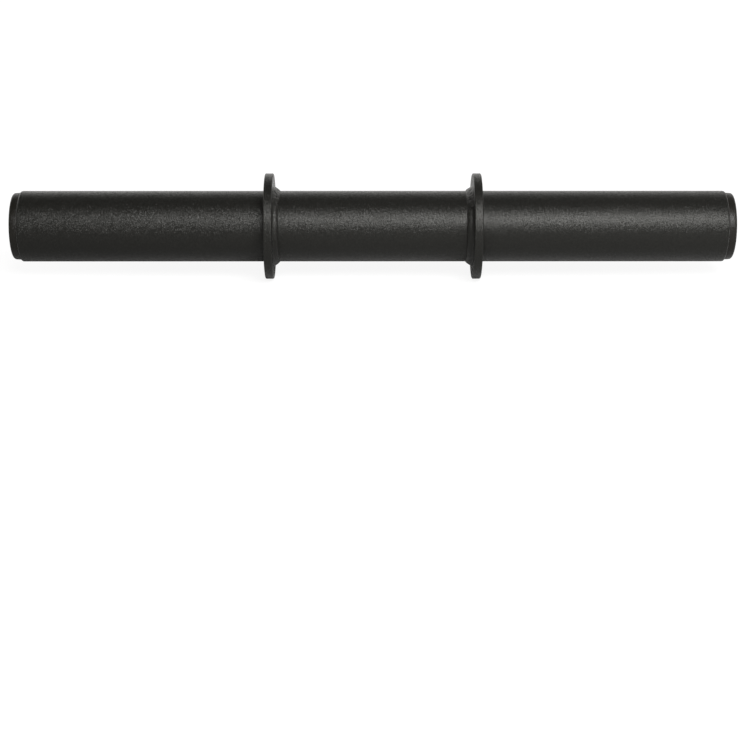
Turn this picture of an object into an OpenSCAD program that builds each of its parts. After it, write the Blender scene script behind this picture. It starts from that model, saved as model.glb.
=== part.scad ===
// A short, thick-gripped bar that takes weight plates on both ends. One straight steel
// tube runs the whole length. A round stop plate is pushed over it at each end of the
// grip and welded on the grip side only, so that the weight plates seat flat against its
// clean outer face. A plastic cap is pushed into each open end of the tube.
// The bar lies along X with its centre at the origin, and its front faces -Y.

/* [Tube] */
// Length of the tube, without its end caps
tube_length = 498.4; // [380:0.1:900]
// Outside diameter, the same from end to end
tube_diameter = 50; // [44:0.1:52]
// Thickness of the tube's wall
tube_wall = 4; // [2.6:0.1:6]
// Radius of the rounded outer edge at each end of the tube
tube_edge_radius = 1.5; // [0.5:0.1:2]

/* [Flanges] */
// Clear length of the grip, between the two flanges
grip_length = 140.6; // [100:0.1:200]
// Diameter of each flange
flange_diameter = 74.6; // [66:0.1:120]
// Thickness of each flange
flange_thickness = 6; // [3:0.1:12]
// Radius of the two rounded edges of a flange's rim
flange_edge_radius = 0.8; // [0.2:0.1:1.4]
// Gap all round between the tube and a flange's bore
flange_bore_gap = 0.15; // [0.05:0.01:0.5]

/* [Weld beads] */
// Mean reach of a bead along the tube
weld_tube_leg = 4.2; // [3:0.1:7]
// Mean reach of a bead up the flange
weld_flange_leg = 3.2; // [3:0.1:5]
// How far the middle of the bead's face stands out from flat
weld_crown = 0.1; // [0:0.05:0.6]
// Gap all round between the tube and the root of a bead
weld_root_gap = 0.02; // [0.01:0.01:0.1]
// How many runs a bead is laid in
weld_runs = 2; // [1:1:4]
// Share by which a run is leaner in its first half and fuller in its second
weld_swell = 0.14; // [0:0.01:0.3]
// Depth of the dip where one run stops and the next one starts
weld_stop_depth = 1.2; // [0:0.1:2]
// Length of that dip along the bead
weld_stop_length = 5; // [3:0.1:12]
// Distance from one ripple of a bead to the next
weld_ripple_pitch = 2.7; // [2:0.1:6]
// Height of the ripples
weld_ripple_height = 0.14; // [0:0.01:0.3]
// How far the ripples lag at the middle of the bead, as a share of their pitch
weld_ripple_bow = 0.5; // [0:0.05:1]
// How far the edge of a bead wanders from its line
weld_wander = 0.12; // [0:0.01:0.3]
// Where the left bead's first run starts, in degrees from the top towards the front
left_weld_start = 37; // [0:1:359]
// Where the right bead's first run starts, in degrees from the top towards the front
right_weld_start = 46; // [0:1:359]

/* [End caps] */
// How far the side of a cap's head stands in from the side of the tube
cap_head_inset = 1.3; // [0.8:0.05:2]
// How far a cap's head stands out from the end of the tube
cap_head_length = 5.4; // [3:0.1:12]
// Radius of the rounded outer edge of a cap's head
cap_edge_radius = 1.8; // [0.4:0.1:2.6]
// Radius of the small rounded edge where a cap's head meets the tube
cap_seat_radius = 0.3; // [0.1:0.05:0.5]
// Length of a cap's stem inside the tube
cap_stem_length = 19; // [14:0.5:40]
// Wall of the hollow stem
cap_stem_wall = 2; // [1.2:0.1:4]
// Room between the stem and the tube's bore, which the fins bridge
cap_stem_room = 2.4; // [1.5:0.1:4]
// How many fins a stem has
cap_fin_count = 4; // [2:1:5]
// Thickness of a fin where it leaves the stem
cap_fin_root = 1.4; // [0.8:0.1:2]
// Thickness of a fin at its tip
cap_fin_tip = 0.6; // [0.3:0.1:1]
// How far the fins lean back towards the head at their tips
cap_fin_rake = 1.1; // [0:0.1:1.6]
// Gap between the tips of the fins and the tube's bore
cap_fin_gap = 0.05; // [0.02:0.01:0.2]

/* [Hidden] */

$fn = 96;

tube_radius = tube_diameter / 2;
bore_radius = tube_radius - tube_wall;
flange_radius = flange_diameter / 2;
flange_bore_radius = tube_radius + flange_bore_gap;
grip_end = grip_length / 2;
tube_end = tube_length / 2;

// A bead is a ring of cross-sections. Each has its root corner and a row of points across
// its face, from the edge on the flange to the edge on the tube.
weld_sections = 240;
weld_face_points = 7;
weld_points = weld_face_points + 1;
weld_step = 360 / weld_sections;
weld_run_angle = 360 / weld_runs;
// The ring's flats touch the tube at their middles, so its corners stand a little further out
weld_root_radius = (tube_radius + weld_root_gap) / cos(weld_step / 2);
weld_line_radius = tube_radius + weld_flange_leg / 2;
weld_ripple_count = round(2 * PI * weld_line_radius / weld_ripple_pitch);
// Two slow waves, which don't fall in step with each other, make the edges wander
weld_slow_waves = 5;
weld_quick_waves = 13;
// Shares of a stop's dip and of the wander that the edge on the flange shows
weld_flange_share = 0.5;

cap_head_radius = tube_radius - cap_head_inset;
cap_stem_radius = bore_radius - cap_stem_room;
cap_fin_radius = bore_radius - cap_fin_gap;
cap_fin_pitch = cap_stem_length / cap_fin_count;

coat_black = [0.13, 0.13, 0.13];
cap_black = [0.17, 0.17, 0.16];

// Lays a turned piece, which stands on Z, along X
module along_bar() {
    rotate([0, 90, 0])
        children();
}

// Takes a piece of the right half of the bar to the left half
module left_half() {
    mirror([1, 0, 0])
        children();
}

// What comes off a square corner at the origin to round it. The material is below it and
// towards the axis.
module edge_waste(radius) {
    translate([-radius, -radius])
        difference() {
            square(2 * radius);
            circle(radius);
        }
}

module tube_section() {
    difference() {
        translate([bore_radius, -tube_end])
            square([tube_wall, tube_length]);
        for (end = [0, 1])
            mirror([0, end])
                translate([tube_radius, tube_end])
                    edge_waste(tube_edge_radius);
    }
}

module tube() {
    color(coat_black)
        along_bar()
            rotate_extrude()
                tube_section();
}

// Both rims are rounded alike, so the section is drawn about its own mid-plane
module flange_section() {
    difference() {
        translate([flange_bore_radius, -flange_thickness / 2])
            square([flange_radius - flange_bore_radius, flange_thickness]);
        for (side = [0, 1])
            mirror([0, side])
                translate([flange_radius, flange_thickness / 2])
                    edge_waste(flange_edge_radius);
    }
}

module flange() {
    translate([grip_end + flange_thickness / 2, 0, 0])
        along_bar()
            rotate_extrude()
                flange_section();
}

module left_flange() {
    color(coat_black)
        left_half()
            flange();
}

module right_flange() {
    color(coat_black)
        flange();
}

// How far round its run a place on the bead is, from 0 at the start to 1 at the stop
function run_share(angle) = (angle % weld_run_angle) / weld_run_angle;

// Arc length from a place on the bead to the nearest stop
function stop_distance(angle) =
    let (share = run_share(angle))
    min(share, 1 - share) * weld_run_angle * PI / 180 * weld_line_radius;

function stop_dip(angle) = weld_stop_depth * exp(-pow(2 * stop_distance(angle) / weld_stop_length, 2));

function fullness(angle) = 1 - weld_swell * sin(360 * run_share(angle));

function wander(angle) =
    weld_wander * (sin(weld_slow_waves * angle) + sin(weld_quick_waves * angle)) / 2;

function tube_leg(angle) = weld_tube_leg * fullness(angle) - stop_dip(angle) + wander(angle);

function flange_leg(angle) =
    weld_flange_leg * fullness(angle) - weld_flange_share * (stop_dip(angle) - wander(-angle));

// Each ripple is a crescent: it starts at the bead's edges and lags at its middle
function ripple(angle, hump) =
    weld_ripple_height * hump
    * (0.5 + 0.5 * cos(weld_ripple_count * angle - 360 * weld_ripple_bow * hump));

// A point of the bead's face as [reach along the tube, height above it]. The share across
// is 0 at the edge on the flange and 1 at the edge on the tube.
function face_point(angle, across) =
    let (
        along = tube_leg(angle),
        up = flange_leg(angle),
        hump = 4 * across * (1 - across),
        rise = weld_crown * hump + ripple(angle, hump),
        slope = norm([along, up])
    )
    [along * across + rise * up / slope, up * (1 - across) + rise * along / slope];

// Places a point of a cross-section in the bar. The angle runs from the top to the front.
function bead_point(reach, height, angle, start) =
    let (radius = weld_root_radius + height)
    [grip_end - reach, -radius * sin(angle + start), radius * cos(angle + start)];

function bead_section(angle, start) = [
    bead_point(0, 0, angle, start),
    for (i = [0:weld_face_points - 1])
        let (p = face_point(angle, i / (weld_face_points - 1)))
        bead_point(p[0], p[1], angle, start)
];

function bead_corner(section, point) =
    (section % weld_sections) * weld_points + point % weld_points;

module weld_bead(start) {
    points = [
        for (s = [0:weld_sections - 1])
            each bead_section(s * weld_step, start)
    ];
    faces = [
        for (s = [0:weld_sections - 1])
            for (p = [0:weld_points - 1])
                for (half = [0, 1])
                    [
                        bead_corner(s, p),
                        half == 0 ? bead_corner(s, p + 1) : bead_corner(s + 1, p + 1),
                        half == 0 ? bead_corner(s + 1, p + 1) : bead_corner(s + 1, p)
                    ]
    ];
    polyhedron(points, faces);
}

module left_weld() {
    color(coat_black)
        left_half()
            weld_bead(left_weld_start);
}

module right_weld() {
    color(coat_black)
        weld_bead(right_weld_start);
}

// The four corners of a fin, from the stem out and back. Its tip leans up to the head.
function fin_corners(height) = [
    [cap_stem_radius, height],
    [cap_fin_radius, height + cap_fin_rake],
    [cap_fin_radius, height + cap_fin_rake - cap_fin_tip],
    [cap_stem_radius, height - cap_fin_root]
];

// Half of a cap cut down its middle. The head stands above height 0, where it sits on the
// end of the tube. The finned stem hangs below, hollow and open at its inner end.
module cap_section() {
    outline = [
        [0, 0],
        [0, cap_head_length],
        [cap_head_radius, cap_head_length],
        [cap_head_radius, 0],
        [cap_stem_radius, 0],
        for (i = [1:cap_fin_count])
            each fin_corners(cap_fin_root - i * cap_fin_pitch),
        [cap_stem_radius - cap_stem_wall, -cap_stem_length],
        [cap_stem_radius - cap_stem_wall, 0]
    ];
    difference() {
        polygon(outline);
        translate([cap_head_radius, cap_head_length])
            edge_waste(cap_edge_radius);
        translate([cap_head_radius, 0])
            mirror([0, 1])
                edge_waste(cap_seat_radius);
    }
}

module end_cap() {
    translate([tube_end, 0, 0])
        along_bar()
            rotate_extrude()
                cap_section();
}

module left_end_cap() {
    color(cap_black)
        left_half()
            end_cap();
}

module right_end_cap() {
    color(cap_black)
        end_cap();
}

tube();
left_flange();
right_flange();
left_weld();
right_weld();
left_end_cap();
right_end_cap();
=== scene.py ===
import math

import bpy
from mathutils import Euler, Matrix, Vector, noise


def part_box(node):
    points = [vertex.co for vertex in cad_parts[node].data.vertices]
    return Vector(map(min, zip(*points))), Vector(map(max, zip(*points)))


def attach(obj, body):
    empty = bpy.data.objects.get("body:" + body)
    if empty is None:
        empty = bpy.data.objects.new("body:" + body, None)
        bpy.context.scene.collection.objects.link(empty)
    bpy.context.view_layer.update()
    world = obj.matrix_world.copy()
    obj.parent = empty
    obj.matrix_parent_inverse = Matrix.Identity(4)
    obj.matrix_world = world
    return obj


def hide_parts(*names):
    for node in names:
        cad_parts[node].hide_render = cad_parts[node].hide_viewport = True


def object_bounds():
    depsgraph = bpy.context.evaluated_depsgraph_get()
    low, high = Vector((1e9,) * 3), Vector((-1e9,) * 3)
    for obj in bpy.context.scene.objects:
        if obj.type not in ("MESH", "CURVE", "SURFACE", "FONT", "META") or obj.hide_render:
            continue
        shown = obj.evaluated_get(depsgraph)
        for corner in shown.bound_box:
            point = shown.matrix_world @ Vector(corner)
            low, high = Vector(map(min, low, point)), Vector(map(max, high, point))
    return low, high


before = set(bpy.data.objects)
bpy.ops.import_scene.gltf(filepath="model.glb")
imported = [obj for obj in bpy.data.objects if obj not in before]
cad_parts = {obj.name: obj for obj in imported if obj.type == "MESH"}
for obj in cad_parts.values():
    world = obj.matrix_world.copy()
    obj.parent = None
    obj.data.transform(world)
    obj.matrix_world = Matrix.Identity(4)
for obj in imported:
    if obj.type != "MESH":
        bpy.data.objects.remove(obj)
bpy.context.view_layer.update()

mm = 0.001


# The tube: one straight length of round mild steel, which is the grip and both sleeves. Its ends
# are rounded over. Once the flanges are welded on, the whole bar is powder coated and baked, which
# leaves a matt black skin with a fine, hard grain. A painted highlight runs round the tube's ends.
# The coat's grains differ in tone at random, and their dark and pale shades also stand for painted
# shade and light between the grains.
coat_dark_grain_and_shade = (0.0034, 0.0033, 0.0028, 1)
coat_pale_grain_and_light = (0.0124, 0.0122, 0.0106, 1)
coat_shine = 0.28
coat_shine_tint = (1.0, 0.998, 0.96, 1)
coat_roughness = (0.30, 0.34)
coat_grazing_roughness = 0.24
coat_grazing_range = (0.82, 1.0)
coat_grain_size = 0.23 * mm
coat_grain_tilt = 0.87
patch_size = 18 * mm
patch_range = (0.3, 0.7)
# A painted highlight: a thin broken pale line in the coat's colour round the edge of each end.
end_highlight_grey = (0.145, 0.142, 0.136, 1)
end_highlight_start = 0.12 * mm
end_highlight_width = 0.34 * mm
end_highlight_blur = 0.06 * mm
end_highlight_break_size = 1.2 * mm
end_highlight_break_range = (0.35, 0.6)
end_highlight_share = (0.5, 1.0)

tube_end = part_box("tube")[1].x


def add_node(tree, kind, inputs=None, **settings):
    """Adds a node to a tree. Each input that is named is linked to a socket or set to a value."""
    node = tree.nodes.new(kind)
    for name, value in settings.items():
        setattr(node, name, value)
    for name, given in (inputs or {}).items():
        if isinstance(given, bpy.types.NodeSocket):
            tree.links.new(given, node.inputs[name])
        else:
            node.inputs[name].default_value = given
    return node


def worked_out(tree, operation, *given):
    """The result of a sum on sockets and plain numbers."""
    return add_node(tree, "ShaderNodeMath", dict(enumerate(given)), operation=operation).outputs[0]


def mapped(tree, value, reach, result=(0.0, 1.0), interpolation="LINEAR"):
    """A value that goes from one result to the other while the given one crosses its reach."""
    inputs = {
        "Value": value,
        "From Min": reach[0], "From Max": reach[1],
        "To Min": result[0], "To Max": result[1],
    }
    node = add_node(tree, "ShaderNodeMapRange", inputs, interpolation_type=interpolation)
    return node.outputs["Result"]


def colour_between(tree, share, first, second):
    """A blend of two colours, by the share of the second. They are inputs 6 and 7 of the node."""
    inputs = {"Factor": share, 6: first, 7: second}
    return add_node(tree, "ShaderNodeMix", inputs, data_type="RGBA").outputs[2]


def number_between(tree, share, first, second):
    """A blend of two numbers, by the share of the second. They are inputs 2 and 3 of the node."""
    inputs = {"Factor": share, 2: first, 3: second}
    return add_node(tree, "ShaderNodeMix", inputs, data_type="FLOAT").outputs[0]


def build_fine_grain():
    """A fine, hard skin: small grains, each with a tilt and a shade of its own, and wide patches
    that are a little smoother than the rest."""
    tree = bpy.data.node_groups.new("fine grain", "ShaderNodeTree")
    for label, way, kind in (
        ("Grain Size", "INPUT", "NodeSocketFloat"),
        ("Grain Tilt", "INPUT", "NodeSocketFloat"),
        ("Normal", "INPUT", "NodeSocketVector"),
        ("Tilted Normal", "OUTPUT", "NodeSocketVector"),
        ("Grains", "OUTPUT", "NodeSocketFloat"),
        ("Patches", "OUTPUT", "NodeSocketFloat"),
    ):
        tree.interface.new_socket(label, in_out=way, socket_type=kind)
    given = tree.nodes.new("NodeGroupInput").outputs
    place = add_node(tree, "ShaderNodeTexCoord").outputs["Object"]

    fineness = worked_out(tree, "DIVIDE", 1.0, given["Grain Size"])
    inputs = {"Vector": place, "Scale": fineness, "Randomness": 1.0}
    grain = add_node(tree, "ShaderNodeTexVoronoi", inputs, feature="F1").outputs["Color"]
    grey = (0.5, 0.5, 0.5)
    lean = add_node(tree, "ShaderNodeVectorMath", {0: grain, 1: grey}, operation="SUBTRACT")
    length = add_node(tree, "ShaderNodeVectorMath", {0: lean.outputs[0]}, operation="LENGTH")
    amount = worked_out(tree, "MULTIPLY", length.outputs["Value"], given["Grain Tilt"])
    inputs = {0: lean.outputs[0], "Scale": amount}
    tilt = add_node(tree, "ShaderNodeVectorMath", inputs, operation="SCALE")
    inputs = {0: given["Normal"], 1: tilt.outputs[0]}
    tilted = add_node(tree, "ShaderNodeVectorMath", inputs, operation="ADD")
    unit = add_node(tree, "ShaderNodeVectorMath", {0: tilted.outputs[0]}, operation="NORMALIZE")
    shade = add_node(tree, "ShaderNodeSeparateColor", {0: grain})
    patches = add_node(
        tree, "ShaderNodeTexNoise", {"Vector": place, "Scale": 1 / patch_size, "Detail": 3.0}
    )
    made = {
        "Tilted Normal": unit.outputs[0],
        "Grains": shade.outputs["Blue"],
        "Patches": patches.outputs["Fac"],
    }
    add_node(tree, "NodeGroupOutput", made)
    return tree


fine_grain = build_fine_grain()


def add_grain(tree, size, tilt):
    """Puts the fine grain into a material, on the piece's own normals."""
    normal = add_node(tree, "ShaderNodeNewGeometry").outputs["Normal"]
    inputs = {"Grain Size": size, "Grain Tilt": tilt, "Normal": normal}
    return add_node(tree, "ShaderNodeGroup", inputs, node_tree=fine_grain)


def new_material(name):
    """Starts a material with its shader, and gives the material, its tree and the shader."""
    material = bpy.data.materials.new(name)
    material.use_nodes = True
    tree = material.node_tree
    return material, tree, tree.nodes["Principled BSDF"]


def powder_coat(name, grain_tilt):
    """A matt black textured coat, which is a little glossier where it is seen at a low angle."""
    material, tree, shader = new_material(name)
    link = tree.links.new
    shader.inputs["Specular IOR Level"].default_value = coat_shine
    shader.inputs["Specular Tint"].default_value = coat_shine_tint
    grain = add_grain(tree, coat_grain_size, grain_tilt)
    # The grain's tone, which is partly painted shade between the grains.
    shade = colour_between(tree, grain.outputs["Grains"], coat_dark_grain_and_shade, coat_pale_grain_and_light)
    link(shade, shader.inputs["Base Color"])
    plain = mapped(tree, grain.outputs["Patches"], patch_range, coat_roughness)
    slant = add_node(tree, "ShaderNodeLayerWeight", {"Blend": 0.5}).outputs["Facing"]
    grazing = mapped(tree, slant, coat_grazing_range, interpolation="SMOOTHSTEP")
    roughness = number_between(tree, grazing, plain, coat_grazing_roughness)
    link(roughness, shader.inputs["Roughness"])
    link(grain.outputs["Tilted Normal"], shader.inputs["Normal"])
    return material


def dress(node_name, material):
    """Gives a CAD node its finish."""
    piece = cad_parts[node_name]
    piece.data.materials.clear()
    piece.data.materials.append(material)


def paint_end_highlights(material):
    """Paints a highlight into the coat's colour, a thin broken pale line round each end's outer
    edge.
    """
    tree = material.node_tree
    shader = tree.nodes["Principled BSDF"]
    coat = shader.inputs["Base Color"].links[0].from_socket
    place = add_node(tree, "ShaderNodeTexCoord").outputs["Object"]
    along = add_node(tree, "ShaderNodeSeparateXYZ", {0: place}).outputs["X"]
    middle = tube_end - end_highlight_start - end_highlight_width / 2
    aside = worked_out(tree, "SUBTRACT", worked_out(tree, "ABSOLUTE", along), middle)
    off = worked_out(tree, "ABSOLUTE", aside)
    line = mapped(tree, off, (end_highlight_width / 2, end_highlight_width / 2 - end_highlight_blur))
    breaks = add_node(
        tree, "ShaderNodeTexNoise", {"Vector": place, "Scale": 1 / end_highlight_break_size, "Detail": 2.0}
    )
    share = mapped(tree, breaks.outputs["Fac"], end_highlight_break_range, end_highlight_share)
    # The painted highlight's share of the colour, along the line and broken by noise.
    painted_highlight = worked_out(tree, "MULTIPLY", line, share)
    tree.links.new(colour_between(tree, painted_highlight, coat, end_highlight_grey), shader.inputs["Base Color"])


tube_coat = powder_coat("tube coat", coat_grain_tilt)
# The tube's end edges get their painted highlight.
paint_end_highlights(tube_coat)
dress("tube", tube_coat)


# The flanges: two flat steel rings with a bore that the tube just passes through. Each is cut from
# plate, its rims are rounded over, and it is set square on the tube and welded on its grip side.
flange_grain_tilt = 1.05 * coat_grain_tilt

flange_coat = powder_coat("flange coat", flange_grain_tilt)
for side in ("left", "right"):
    dress(f"{side}_flange", flange_coat)


# The weld beads: fillets of weld metal that hold the flanges, each laid by hand in two runs half
# way round the bar. A run starts lean, round and smooth and ends full, flat and lumpy, with a
# small pit where it stopped. The coat lies over both beads and softens their ripples.
weld_starts = {"left": 37, "right": 46}
weld_runs = 2
weld_sections = 720
weld_face_points = 34
weld_sharp_fold = 50
weld_sink = 0.06 * mm
tube_leg_lean = {"left": 3.55 * mm, "right": 4.4 * mm}
tube_leg_full = {"left": 4.6 * mm, "right": 4.9 * mm}
flange_leg_lean = 3.3 * mm
flange_leg_full = 3.5 * mm
growing_part = (0.3, 0.8)
edge_wander = 0.16 * mm
edge_waves = (5, 13)
flange_wander_share = 0.5
stop_depth = 0.7 * mm
stop_nose = 4.0 * mm
stop_tail = 3.2 * mm
crown_lean = 1.1 * mm
crown_full = 0.1 * mm
lumpy_part = (0.5, 0.8)
crest_skew = (2.2, 1.0)
crest_breadth = (3, 2)
ripple_pitch = 2.7 * mm
ripple_height = 0.03 * mm
ripple_lag = 0.5
ripple_unevenness = 0.4
lump_size = 2.8 * mm
lump_height = 0.34 * mm
lump_share = (0.25, 1.0)
lump_sink = 0.3
lump_seed = {"left": 3.55, "right": 4.4}
lump_noise = (0.9, 2.3, 3)
face_width = 5 * mm
pit_depth = 0.45 * mm
pit_length = 1.3 * mm
pit_place = 0.7
pit_spread = 0.25

tube_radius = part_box("tube")[1].z
grip_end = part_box("right_flange")[0].x
weld_line_radius = tube_radius + flange_leg_lean / 2
run_length = 2 * math.pi * weld_line_radius / weld_runs


def eased(value, start, end):
    """Goes smoothly from 0 at the start to 1 at the end, and stays there outside them."""
    share = min(1, max(0, (value - start) / (end - start)))
    return share * share * (3 - 2 * share)


def between(first, second, share):
    """A number between two others, by the share of the second."""
    return first + (second - first) * share


def bead_legs(share, angle, name):
    """How far a bead reaches along the tube and up the flange at one place, which is given as a
    share of its run and as an angle from the first run's start."""
    growth = eased(share, *growing_part)
    nose = eased((1 - share) * run_length, 0, stop_nose)
    tail = 1 - math.exp(-((share * run_length / stop_tail) ** 2))
    wander = edge_wander * sum(math.sin(waves * angle) for waves in edge_waves) / 2
    shortest = tube_leg_lean[name] - stop_depth
    along = between(
        shortest + stop_depth * tail, between(shortest, tube_leg_full[name], nose), growth
    )
    up = between(flange_leg_lean, flange_leg_full, growth * nose)
    return along + wander, up - flange_wander_share * wander


def bead_rise(share, angle, across, name):
    """How far a bead's face stands out from flat, at a share of the way across it from the edge
    on the flange to the edge on the tube."""
    crown = between(crown_lean, crown_full, eased(share, *growing_part))
    lumpy = eased(share, *lumpy_part)
    crest = across ** between(*crest_skew, lumpy)
    hump = 1 - abs(2 * crest - 1) ** between(*crest_breadth, lumpy)

    unevenness = ripple_unevenness * math.sin(3 * angle + 1)
    phase = round(run_length / ripple_pitch) * share - ripple_lag * hump + unevenness
    ripple = ripple_height * lumpy * (0.5 + 0.5 * math.cos(2 * math.pi * phase))

    round_the_bar = math.cos(angle) * weld_line_radius, math.sin(angle) * weld_line_radius
    spot = Vector((across * face_width, *round_the_bar)) / lump_size
    spot.x += lump_seed[name]
    waves = noise.fractal(spot, *lump_noise)
    lump = lump_height * between(*lump_share, lumpy) * (waves - lump_sink * lumpy)

    from_stop = min(share, 1 - share) * run_length
    pit = pit_depth * math.exp(-((from_stop / pit_length) ** 2))
    pit *= math.exp(-(((across - pit_place) / pit_spread) ** 2))
    return (crown + ripple + lump) * hump - pit * min(1, 3 * hump)


def bead_face(turn, across, name):
    """A point of a bead's face, as its reach along the tube and its height above it. The turn goes
    from 0 to 1 round the bar, from the first run's start."""
    share, angle = turn * weld_runs % 1, 2 * math.pi * turn
    along, up = bead_legs(share, angle, name)
    rise = bead_rise(share, angle, across, name)
    slope = math.hypot(along, up)
    return along * across + rise * up / slope, up * (1 - across) + rise * along / slope


def bead_section(turn, name, side, start):
    """One cross-section of a bead: the points of its face, and its root in the corner."""
    profile = [bead_face(turn, i / (weld_face_points - 1), name) for i in range(weld_face_points)]
    profile[0] = (-weld_sink, profile[0][1])
    profile[-1] = (profile[-1][0], -weld_sink)
    profile.append((-weld_sink, -weld_sink))
    angle = 2 * math.pi * turn + math.radians(start)
    return [
        (
            side * (grip_end - reach),
            -(tube_radius + height) * math.sin(angle),
            (tube_radius + height) * math.cos(angle),
        )
        for reach, height in profile
    ]


def new_piece(name, points, faces, side, sharp_fold):
    """Makes a piece that is smooth but for its sharp folds, and puts it in the scene. Its faces are
    listed as on the right half of the bar, and turned over for the left."""
    mesh = bpy.data.meshes.new(name)
    mesh.from_pydata(points, [], faces if side > 0 else [face[::-1] for face in faces])
    mesh.shade_smooth()
    mesh.set_sharp_from_angle(angle=math.radians(sharp_fold))
    piece = bpy.data.objects.new(name, mesh)
    bpy.context.scene.collection.objects.link(piece)
    return piece


def weld_bead(name, side):
    """The whole bead, a closed ring of cross-sections."""
    points = [
        point
        for i in range(weld_sections)
        for point in bead_section(i / weld_sections, name, side, weld_starts[name])
    ]
    row = weld_face_points + 1
    faces = []
    for i in range(weld_sections):
        here, there = i * row, (i + 1) % weld_sections * row
        for j in range(row):
            k = (j + 1) % row
            faces.append((here + j, here + k, there + k, there + j))
    return new_piece(f"{name}_weld_bead", points, faces, side, weld_sharp_fold)


weld_coat = powder_coat("weld coat", coat_grain_tilt)
for name, side in (("left", -1), ("right", 1)):
    bead = weld_bead(name, side)
    bead.data.materials.append(weld_coat)
    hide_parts(f"{name}_weld")
    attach(bead, "root")


# The end caps: moulded black polyethylene, pushed into the tube's ends. The head is a little
# smaller than the tube and butts against it, and four soft fins on a hollow stem grip the bore.
# The middle of the face has the small round recess where the plastic was fed into the mould.
cap_dark_grain = (0.0058, 0.0051, 0.0038, 1)
cap_pale_grain = (0.0112, 0.0101, 0.0079, 1)
cap_shine = 0.26
cap_roughness = (0.33, 0.38)
cap_grain_size = 0.28 * mm
cap_grain_tilt = 0.55
cap_inset = 1.3 * mm
cap_draft = 0.2 * mm
cap_edge_radius = 1.8 * mm
cap_seat_radius = 0.3 * mm
cap_face_margin = 0.5 * mm
cap_steps = 160
cap_sharp_fold = 35
gate_radius = 3.2 * mm
gate_depth = 0.35 * mm
gate_edge = 0.2 * mm
nub_radius = 0.7 * mm
nub_height = 0.25 * mm
nub_edge = 0.1 * mm
stem_radius = 18.6 * mm
stem_wall = 2 * mm
stem_length = 19 * mm
fin_radius = 20.95 * mm
fin_count = 4
fin_root = 1.4 * mm
fin_tip = 0.6 * mm
fin_rake = 1.1 * mm


def arc(middle, radius, first, last, steps):
    """Points on an arc of a turned outline, as (distance out, radius). Degrees run from out to
    up."""
    angles = [math.radians(first + (last - first) * i / steps) for i in range(steps + 1)]
    return [(middle[0] + radius * math.cos(a), middle[1] + radius * math.sin(a)) for a in angles]


def cap_outline():
    """Half of a cap's section, from the middle of its face round to the inside of its stem. The
    first number is how far out from the tube's end a point is."""
    head_radius = tube_radius - cap_inset
    front_radius = head_radius - cap_draft
    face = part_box("right_end_cap")[1].x - tube_end
    gate_floor = face - gate_depth
    nub_top = gate_floor + nub_height
    outline = [
        (nub_top, 0),
        (nub_top, nub_radius - nub_edge),
        (nub_top - nub_edge, nub_radius),
        (gate_floor, nub_radius + nub_edge),
        (gate_floor, gate_radius - gate_edge),
        *arc((face - gate_edge, gate_radius + gate_edge / 2), gate_edge, 157.5, 135, 1),
        (face, gate_radius + gate_edge),
        (face, front_radius - cap_edge_radius - cap_face_margin),
        *arc(
            (face - cap_edge_radius, front_radius - cap_edge_radius), cap_edge_radius, 0, 88, 12
        ),
        *arc((cap_seat_radius, head_radius - cap_seat_radius), cap_seat_radius, 92, 180, 6),
        (0, stem_radius),
    ]
    for i in range(1, fin_count + 1):
        foot = fin_root - i * stem_length / fin_count
        outline += [
            (foot, stem_radius),
            (foot + fin_rake, fin_radius),
            (foot + fin_rake - fin_tip, fin_radius),
            (foot - fin_root, stem_radius),
        ]
    outline += [(-stem_length, stem_radius - stem_wall), (0, stem_radius - stem_wall), (0, 0)]
    return outline


def end_cap(name, side):
    """A cap's outline, turned round the bar's axis, on which it starts and ends."""
    outline = [(side * (tube_end + out), radius) for out, radius in cap_outline()]
    points = [(outline[0][0], 0, 0), (outline[-1][0], 0, 0)]
    rings = []
    for x, radius in outline[1:-1]:
        rings.append(len(points))
        for i in range(cap_steps):
            angle = 2 * math.pi * i / cap_steps
            points.append((x, -radius * math.sin(angle), radius * math.cos(angle)))
    faces = []
    for i in range(cap_steps):
        k = (i + 1) % cap_steps
        faces.append((0, rings[0] + i, rings[0] + k))
        for here, there in zip(rings, rings[1:]):
            faces.append((here + i, there + i, there + k, here + k))
        faces.append((rings[-1] + i, 1, rings[-1] + k))
    return new_piece(f"{name}_cap", points, faces, side, cap_sharp_fold)


def moulded_plastic():
    """Matt black moulded plastic, with the fine even grain of an etched mould."""
    material, tree, shader = new_material("cap plastic")
    link = tree.links.new
    shader.inputs["Specular IOR Level"].default_value = cap_shine
    grain = add_grain(tree, cap_grain_size, cap_grain_tilt)
    shade = colour_between(tree, grain.outputs["Grains"], cap_dark_grain, cap_pale_grain)
    link(shade, shader.inputs["Base Color"])
    roughness = mapped(tree, grain.outputs["Patches"], patch_range, cap_roughness)
    link(roughness, shader.inputs["Roughness"])
    link(grain.outputs["Tilted Normal"], shader.inputs["Normal"])
    return material


cap_plastic = moulded_plastic()
for name, side in (("left", -1), ("right", 1)):
    cap = end_cap(name, side)
    cap.data.materials.append(cap_plastic)
    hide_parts(f"{name}_end_cap")
    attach(cap, "root")


# The studio floor: a wide matt white sheet under the bar, which rests on the rims of its flanges.
# The camera sees it white, with the bar's soft shadow and a painted shadow round the bar. The bar
# itself mirrors a plainer sheet, painted paler on the right and in front as if lit more there, and
# with a painted glow behind the bar on the left.
floor_half_width = 6
floor_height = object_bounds()[0].z
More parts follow.
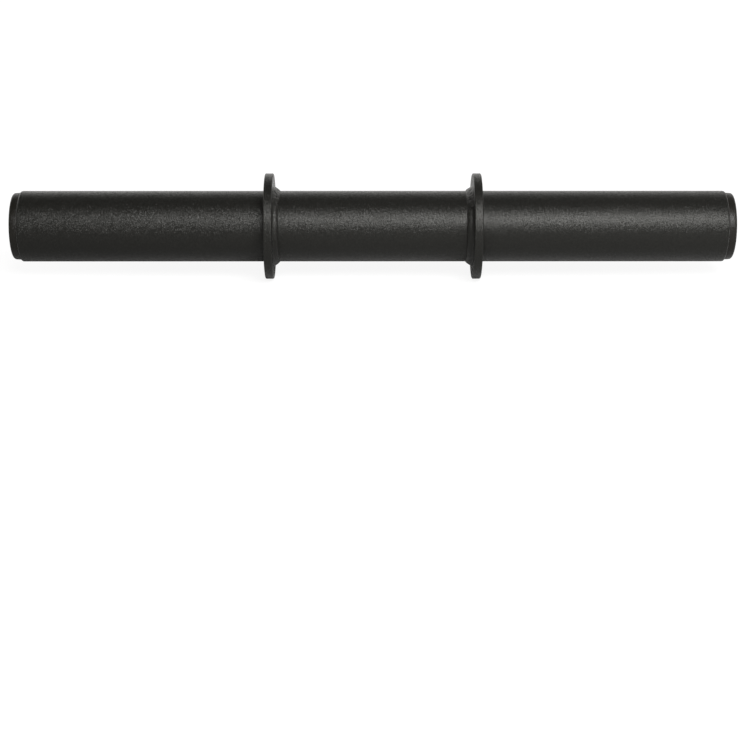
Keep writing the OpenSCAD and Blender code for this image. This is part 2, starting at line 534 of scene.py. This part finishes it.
# A painted shadow for the floor the camera sees; painted light and a painted glow for the floor the
# bar mirrors.
floor_painted_shadow_range = (0.15, 0.6)
floor_glow_with_painted_shadow = (0.88, 0.99)
floor_lit_white = (0.17, 0.17, 0.17, 1)
floor_painted_light_white = (0.39, 0.59)
floor_painted_light_range = (-0.33, 0.0)
floor_painted_front_light = 1.2
floor_painted_front_range = (0.0, -0.08)
floor_painted_glow = 0.42
floor_painted_glow_range = (0.13, 0.2)
floor_painted_glow_end = (0.04, -0.05)


def floor_seen_by_camera(tree, position):
    """A sheet that mostly glows. The glow is painted dimmer near the bar, a painted shadow."""
    from_bar = add_node(tree, "ShaderNodeVectorMath", {0: position}, operation="LENGTH")
    # The glow is painted dimmer near the bar, a painted shadow round it.
    level = mapped(tree, from_bar.outputs["Value"], floor_painted_shadow_range, floor_glow_with_painted_shadow)
    glow = add_node(tree, "ShaderNodeEmission", {"Color": (1, 1, 1, 1), "Strength": level})
    lit = add_node(tree, "ShaderNodeBsdfDiffuse", {"Color": floor_lit_white})
    return add_node(tree, "ShaderNodeAddShader", {0: glow.outputs[0], 1: lit.outputs[0]})


def floor_seen_by_bar(tree, position):
    """A matt sheet painted paler on the right and in front, as if lit more there, and a painted
    glow on it behind the bar on the left.
    """
    spot = add_node(tree, "ShaderNodeSeparateXYZ", {0: position}).outputs
    # Painted light: the sheet is made paler on the right and in front, as if lit more there.
    painted_light_rightward = mapped(tree, spot["X"], floor_painted_light_range, floor_painted_light_white)
    painted_light_frontward = mapped(tree, spot["Y"], floor_painted_front_range, (1.0, floor_painted_front_light))
    painted_lit_white = worked_out(tree, "MULTIPLY", painted_light_rightward, painted_light_frontward)
    plain = add_node(tree, "ShaderNodeBsdfDiffuse", {"Color": painted_lit_white})
    # Painted glow: the sheet glows behind the bar on the left, though no lamp is there.
    painted_glow_behind = mapped(tree, spot["Y"], floor_painted_glow_range, (0.0, floor_painted_glow))
    painted_glow_leftward = mapped(tree, spot["X"], floor_painted_glow_end)
    level = worked_out(tree, "MULTIPLY", painted_glow_behind, painted_glow_leftward)
    painted_glow_patch = add_node(tree, "ShaderNodeEmission", {"Color": (1, 1, 1, 1), "Strength": level})
    return add_node(tree, "ShaderNodeAddShader", {0: plain.outputs[0], 1: painted_glow_patch.outputs[0]})


def floor_paper():
    """The sheet's material. It can't be seen from below."""
    material = bpy.data.materials.new("floor paper")
    material.use_nodes = True
    tree = material.node_tree
    tree.nodes.clear()
    here = add_node(tree, "ShaderNodeNewGeometry").outputs
    to_camera = add_node(tree, "ShaderNodeLightPath").outputs["Is Camera Ray"]
    for_bar = floor_seen_by_bar(tree, here["Position"]).outputs[0]
    for_camera = floor_seen_by_camera(tree, here["Position"]).outputs[0]
    above = add_node(tree, "ShaderNodeMixShader", {0: to_camera, 1: for_bar, 2: for_camera})
    below = add_node(tree, "ShaderNodeBsdfTransparent")
    inputs = {0: here["Backfacing"], 1: above.outputs[0], 2: below.outputs[0]}
    either = add_node(tree, "ShaderNodeMixShader", inputs)
    add_node(tree, "ShaderNodeOutputMaterial", {"Surface": either.outputs[0]})
    return material


floor_mesh = bpy.data.meshes.new("floor")
floor_mesh.from_pydata(
    [
        (x * floor_half_width, y * floor_half_width, floor_height)
        for x, y in ((-1, -1), (1, -1), (1, 1), (-1, 1))
    ],
    [],
    [(0, 1, 2, 3)],
)
floor_mesh.materials.append(floor_paper())
floor = bpy.data.objects.new("floor", floor_mesh)
bpy.context.scene.collection.objects.link(floor)


# The studio light: one wide soft box above the bar, in front of it and to the right. The room's
# walls are pale behind the bar and dimmer in front, above all on the left, and its ceiling is dark.
box_place = (0.28, -1.03, 0.80)
box_size = (0.85, 0.56)
box_power = 22.2
front_wall = (0.05, 0.46)
front_wall_range = (-0.3, 0.05)
back_wall = (1.52, 1.1)
back_wall_range = (-0.35, 0.35)
ceiling_share = 0.6
ceiling_range = (0.3, 0.72)
room_white = (1.0, 0.99, 0.965, 1)

lamp = bpy.data.lights.new("soft box", "AREA")
lamp.shape = "RECTANGLE"
lamp.size, lamp.size_y = box_size
lamp.energy = box_power
soft_box = bpy.data.objects.new("soft box", lamp)
bpy.context.scene.collection.objects.link(soft_box)
soft_box.location = box_place
soft_box.rotation_euler = (-Vector(box_place)).to_track_quat("-Z", "Y").to_euler()
soft_box.visible_camera = False


def light_room(tree):
    """Lights the bar from all round. The camera sees plain white instead."""
    place = add_node(tree, "ShaderNodeTexCoord").outputs["Generated"]
    way = add_node(tree, "ShaderNodeSeparateXYZ", {0: place}).outputs
    front = mapped(tree, way["X"], front_wall_range, front_wall)
    back = mapped(tree, way["X"], back_wall_range, back_wall)
    wall = number_between(tree, mapped(tree, way["Y"], (-1.0, 1.0)), front, back)
    ceiling = worked_out(tree, "MULTIPLY", front, ceiling_share)
    height = mapped(tree, way["Z"], ceiling_range, interpolation="SMOOTHSTEP")
    level = number_between(tree, height, wall, ceiling)
    light = add_node(tree, "ShaderNodeBackground", {"Color": room_white, "Strength": level})
    inputs = {"Color": (1, 1, 1, 1), "Strength": 1.0}
    backdrop = add_node(tree, "ShaderNodeBackground", inputs)
    to_camera = add_node(tree, "ShaderNodeLightPath").outputs["Is Camera Ray"]
    inputs = {0: to_camera, 1: light.outputs[0], 2: backdrop.outputs[0]}
    either = add_node(tree, "ShaderNodeMixShader", inputs)
    add_node(tree, "ShaderNodeOutputWorld", {"Surface": either.outputs[0]})


room = bpy.data.worlds.new("room")
bpy.context.scene.world = room
room.use_nodes = True
room.node_tree.nodes.clear()
light_room(room.node_tree)


# The camera: square to the bar and a little above it, with a long lens. It looks a little below
# the bar, so that the bar lies in the upper part of the square picture.
camera_distance = 1.32
camera_elevation = math.radians(15)
camera_azimuth = math.radians(-0.23)
camera_roll = math.radians(0.046)
picture_size = 747
focal_pixels = 1852
bar_pixel = (373.0, 226.15)
sensor_width = 36

camera_data = bpy.data.cameras.new("camera")
camera_data.sensor_width = sensor_width
camera_data.lens = sensor_width * focal_pixels / picture_size
camera_data.clip_start = 0.05
camera_data.clip_end = 50
camera = bpy.data.objects.new("camera", camera_data)
bpy.context.scene.collection.objects.link(camera)
towards = Vector(
    (
        math.sin(camera_azimuth) * math.cos(camera_elevation),
        -math.cos(camera_azimuth) * math.cos(camera_elevation),
        math.sin(camera_elevation),
    )
)
camera.location = camera_distance * towards
pitch = math.atan((picture_size / 2 - bar_pixel[1]) / focal_pixels)
yaw = math.atan((picture_size / 2 - bar_pixel[0]) / focal_pixels)
turned_aside = Euler((-pitch, -yaw, camera_roll)).to_quaternion()
camera.rotation_mode = "QUATERNION"
camera.rotation_quaternion = (-towards).to_track_quat("-Z", "Y") @ turned_aside
bpy.context.scene.camera = camera

bpy.context.scene.view_settings.view_transform = "Standard"
